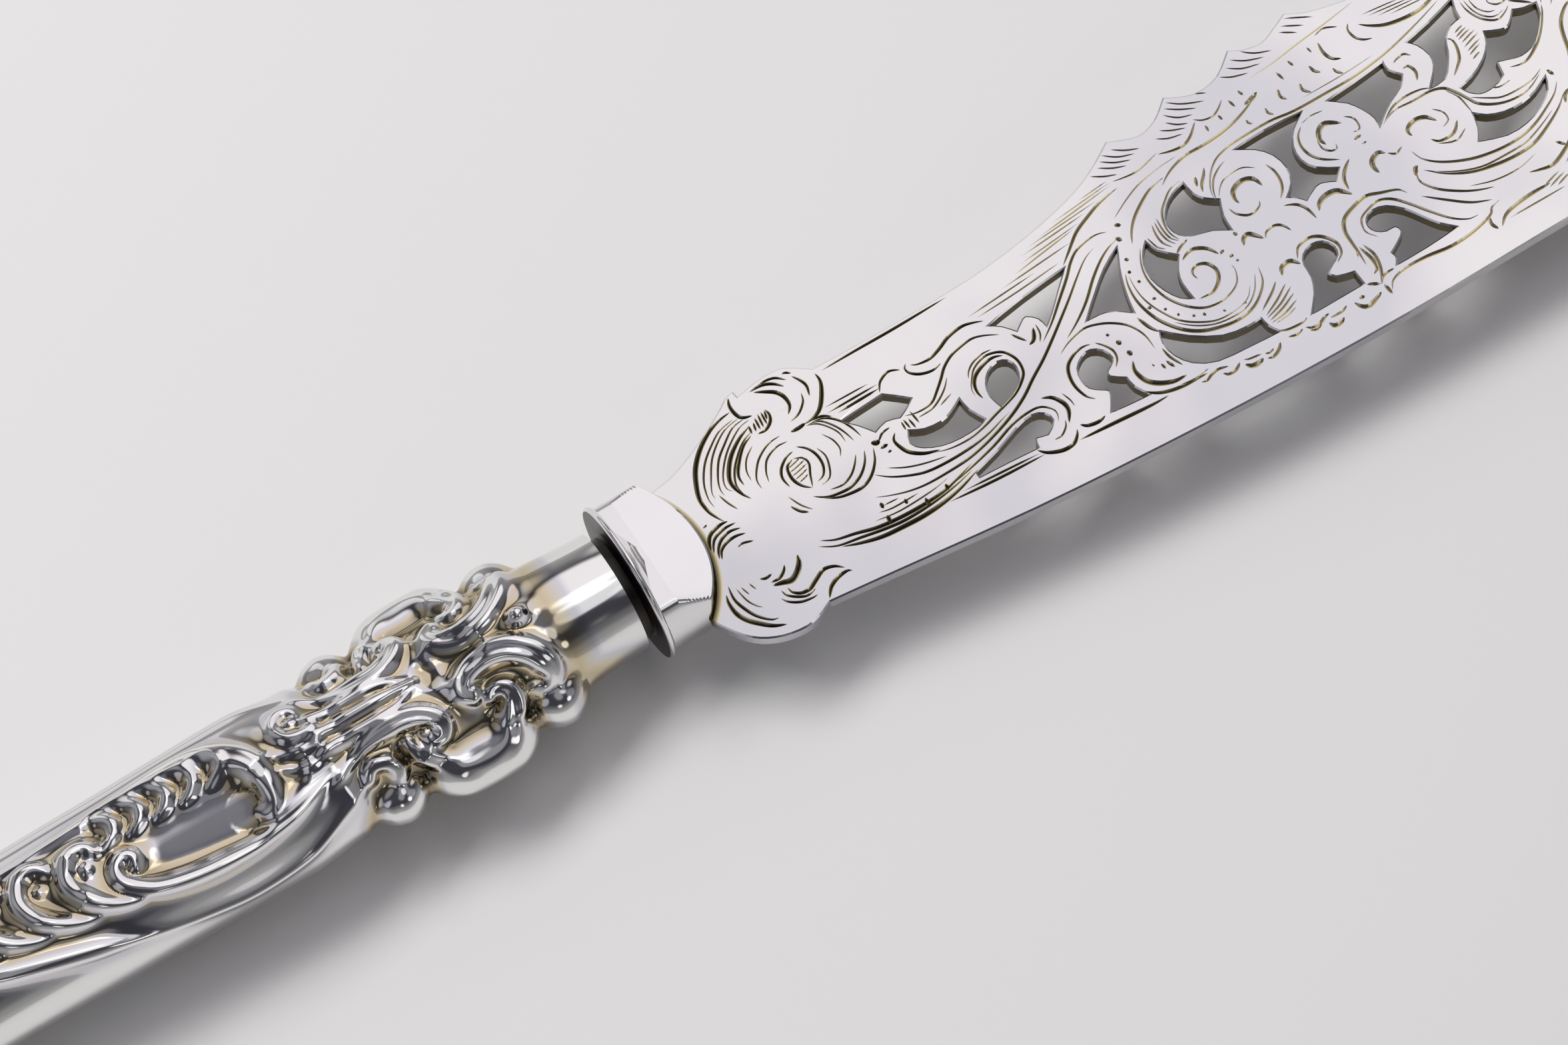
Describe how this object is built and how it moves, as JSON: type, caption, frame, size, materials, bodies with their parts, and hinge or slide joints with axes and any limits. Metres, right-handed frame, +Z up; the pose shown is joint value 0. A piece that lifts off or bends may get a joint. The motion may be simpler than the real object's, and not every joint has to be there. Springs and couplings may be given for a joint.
{
  "type": "fish serving knife",
  "caption": "Silver fish serving knife with a pierced and engraved scrolling blade, a round flanged bolster and a hollow handle struck with leafy scrolls.",
  "frame": {"origin": "where the bolster's nose meets the blade's upper engraved face, over the handle's axis", "axes": "+X to the blade's tip along the handle's axis, +Y to the finned back edge, +Z up from the engraved face"},
  "size_m": [0.3229, 0.0402, 0.018],
  "materials": {
    "blade_silver": "satin silver plate with fine wear",
    "bolster_silver": "polished silver plate",
    "handle_silver": "struck silver, tarnished in the hollows",
    "resin": "dark filling, hidden"
  },
  "bodies": {
    "root": {"blade": "blade_silver", "bolster": "bolster_silver", "handle_shell_upper": "handle_silver", "handle_shell_lower": "handle_silver", "handle_filler": "resin"}
  },
  "joints": []
}
